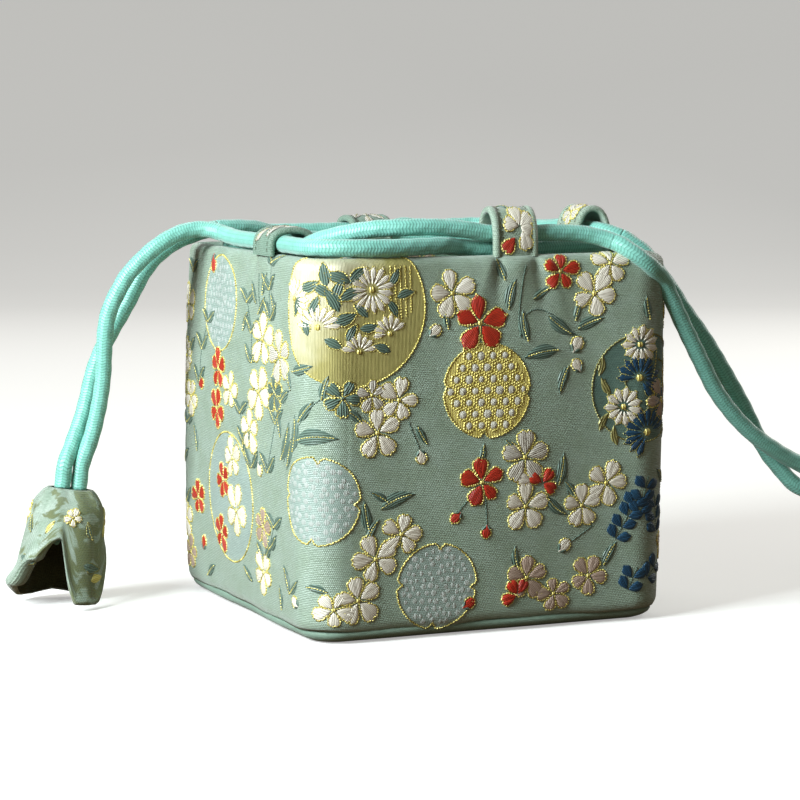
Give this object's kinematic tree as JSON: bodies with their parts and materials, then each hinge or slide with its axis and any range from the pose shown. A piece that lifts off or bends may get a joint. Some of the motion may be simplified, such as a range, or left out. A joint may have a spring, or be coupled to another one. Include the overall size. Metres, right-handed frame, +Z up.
{
  "type": "tea set storage bag",
  "caption": "Small padded cube bag of flowered brocade for a tea set: open mouth, cloth loops on the rim and two drawstrings whose ends finish in folded cloth bellflowers.",
  "frame": {"origin": "middle of the bag's footprint on the surface it stands on, free cord ends left out", "axes": "+Z up, -Y towards the front wall, +X towards the right wall"},
  "size_m": [0.2672, 0.1166, 0.1194],
  "materials": {
    "brocade": "woven brocade, jade ground with coloured and gold figures",
    "plain_cloth": "plain jade cloth",
    "wadding": "soft wadding",
    "greyboard": "stiff greyboard",
    "lining": "plain pale green lining",
    "cord": "braided turquoise cord"
  },
  "bodies": {
    "bag": {"outer_wrap": "brocade", "rim_facing": "brocade", "front_wadding": "wadding", "right_wadding": "wadding", "back_wadding": "wadding", "left_wadding": "wadding", "outer_base": "plain_cloth", "base_wadding": "wadding", "base_board": "greyboard", "lining_base": "lining", "lining_walls": "lining", "front_loop": "brocade", "right_loop": "brocade", "back_loop": "brocade", "left_loop": "brocade", "left_ring_cord": "cord", "right_ring_cord": "cord"},
    "left_pull": {"left_front_tail": "cord", "left_back_tail": "cord"},
    "left_flower": {"left_flower_end": "brocade", "left_end_knot": "cord"},
    "right_pull": {"right_front_tail": "cord", "right_back_tail": "cord"},
    "right_flower": {"right_flower_end": "brocade", "right_end_knot": "cord"}
  },
  "joints": [
    {"name": "left_draw", "type": "slide", "parent": "bag", "child": "left_pull", "axis": [-1, 0, 0], "range_m": [0, 0.012]},
    {"name": "left_end_swing", "type": "hinge", "parent": "left_pull", "child": "left_flower", "pos_m": [-0.0955, 0.036, 0.0347], "axis": [0, 1, 0], "range_deg": [-30, 60], "deforming": ["left_front_tail", "left_back_tail"]},
    {"name": "right_draw", "type": "slide", "parent": "bag", "child": "right_pull", "axis": [1, 0, 0], "range_m": [0, 0.012]},
    {"name": "right_end_swing", "type": "hinge", "parent": "right_pull", "child": "right_flower", "pos_m": [0.1213, -0.047, 0.0282], "axis": [0, 1, 0], "range_deg": [-40, 30], "deforming": ["right_front_tail", "right_back_tail"]}
  ]
}
